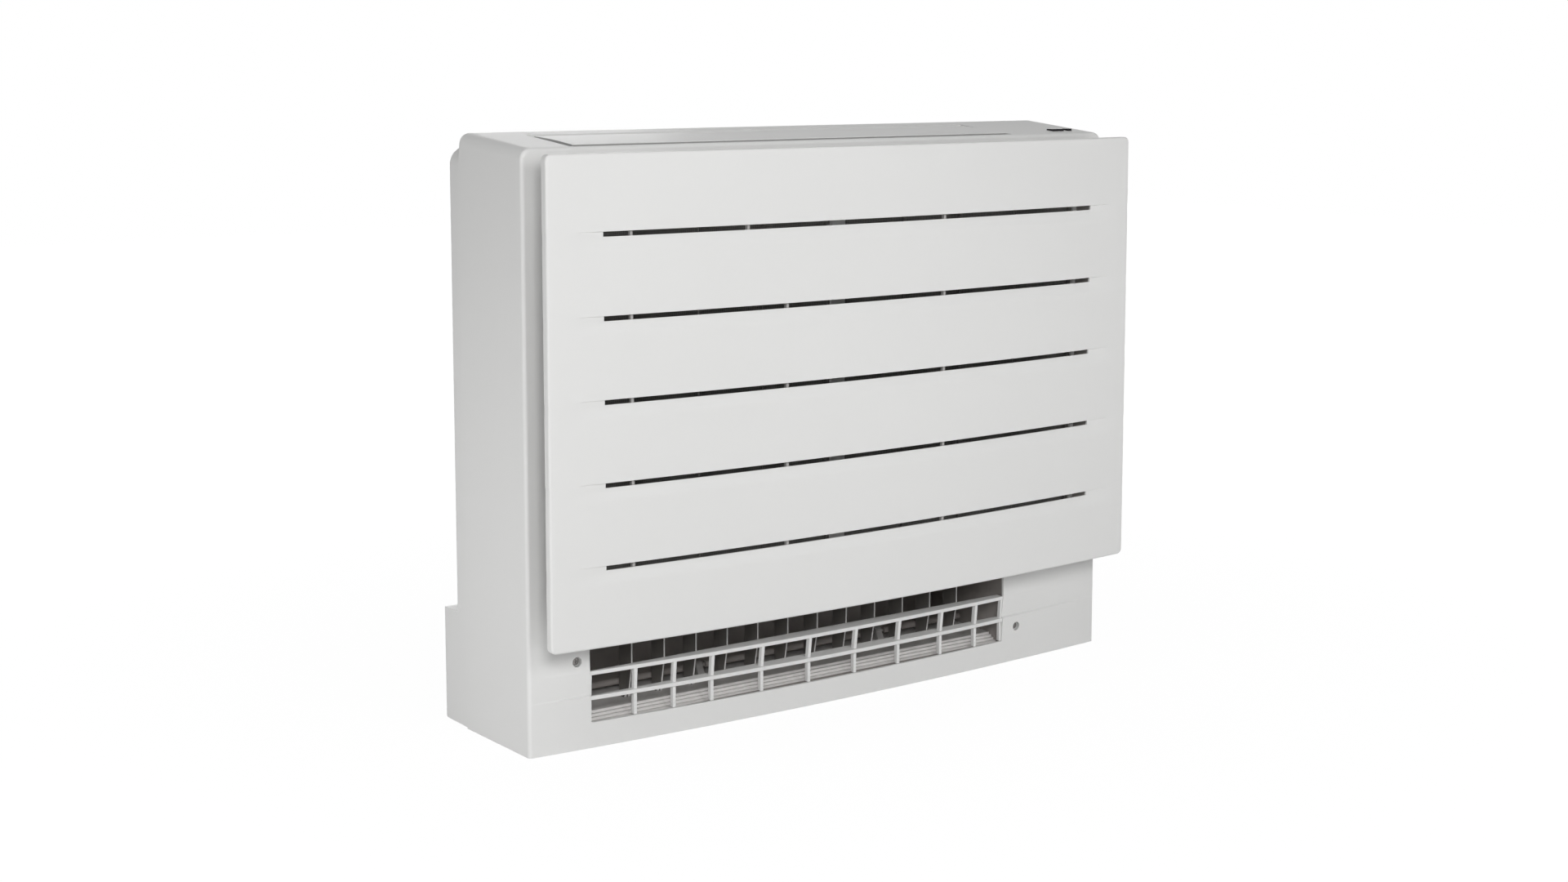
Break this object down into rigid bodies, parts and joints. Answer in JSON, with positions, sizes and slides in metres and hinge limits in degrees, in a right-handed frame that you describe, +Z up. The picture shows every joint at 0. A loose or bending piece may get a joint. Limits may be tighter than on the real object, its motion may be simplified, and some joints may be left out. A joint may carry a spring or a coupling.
{
  "type": "floor standing room air conditioner",
  "caption": "White floor standing indoor air conditioner with a bowed slatted front panel, a flap over its top outlet and a grille over its low outlet.",
  "frame": {"origin": "middle of the footprint, on the floor", "axes": "+Z up, front panel towards -Y, +X to the right of someone facing the front"},
  "size_m": [0.75, 0.238, 0.6],
  "materials": {
    "white_plastic": "satin white moulded plastic",
    "grey_plastic": "matt grey moulded plastic",
    "dark_plastic": "matt dark grey plastic and foam",
    "filter_mesh": "fine dark filter net in a moulded frame",
    "coil_metal": "thin bare fins",
    "dark_window": "smooth dark tinted window"
  },
  "bodies": {
    "unit": {"casing": "white_plastic", "rear_frame": "white_plastic", "base_plate": "grey_plastic", "panel_hinge_left": "white_plastic", "panel_hinge_right": "white_plastic", "panel_stop_left": "white_plastic", "panel_stop_right": "white_plastic", "upper_duct": "dark_plastic", "outlet_grille": "white_plastic", "outlet_duct": "dark_plastic", "outlet_floor": "grey_plastic", "damper_bracket_left": "grey_plastic", "damper_bracket_right": "grey_plastic", "air_filter_left": "filter_mesh", "air_filter_right": "filter_mesh", "coil": "coil_metal", "inner_frame": "grey_plastic", "display_window": "dark_window", "receiver_window": "dark_window", "upper_vane_1": "dark_plastic", "upper_vane_2": "dark_plastic", "upper_vane_3": "dark_plastic", "upper_vane_4": "dark_plastic", "upper_vane_5": "dark_plastic", "upper_vane_6": "dark_plastic", "guide_vane_01": "grey_plastic", "guide_vane_02": "grey_plastic", "guide_vane_03": "grey_plastic", "guide_vane_04": "grey_plastic", "guide_vane_05": "grey_plastic", "guide_vane_06": "grey_plastic", "guide_vane_07": "grey_plastic", "guide_vane_08": "grey_plastic", "guide_vane_09": "grey_plastic", "guide_vane_10": "grey_plastic", "guide_vane_11": "grey_plastic", "guide_vane_12": "grey_plastic"},
    "panel": {"front_panel": "white_plastic"},
    "flap": {"upper_flap": "white_plastic"},
    "damper": {"lower_damper": "grey_plastic"}
  },
  "joints": [
    {"name": "panel_tilt", "type": "hinge", "parent": "unit", "child": "panel", "pos_m": [0, -0.0745, 0.1235], "axis": [1, 0, 0], "range_deg": [0, 25]},
    {"name": "flap_tilt", "type": "hinge", "parent": "unit", "child": "flap", "pos_m": [0, 0.0265, 0.59036], "axis": [-1, 0, 0], "range_deg": [0, 60]},
    {"name": "damper_tilt", "type": "hinge", "parent": "unit", "child": "damper", "pos_m": [0, 0.004, 0.0405], "axis": [1, 0, 0], "range_deg": [0, 80]}
  ]
}
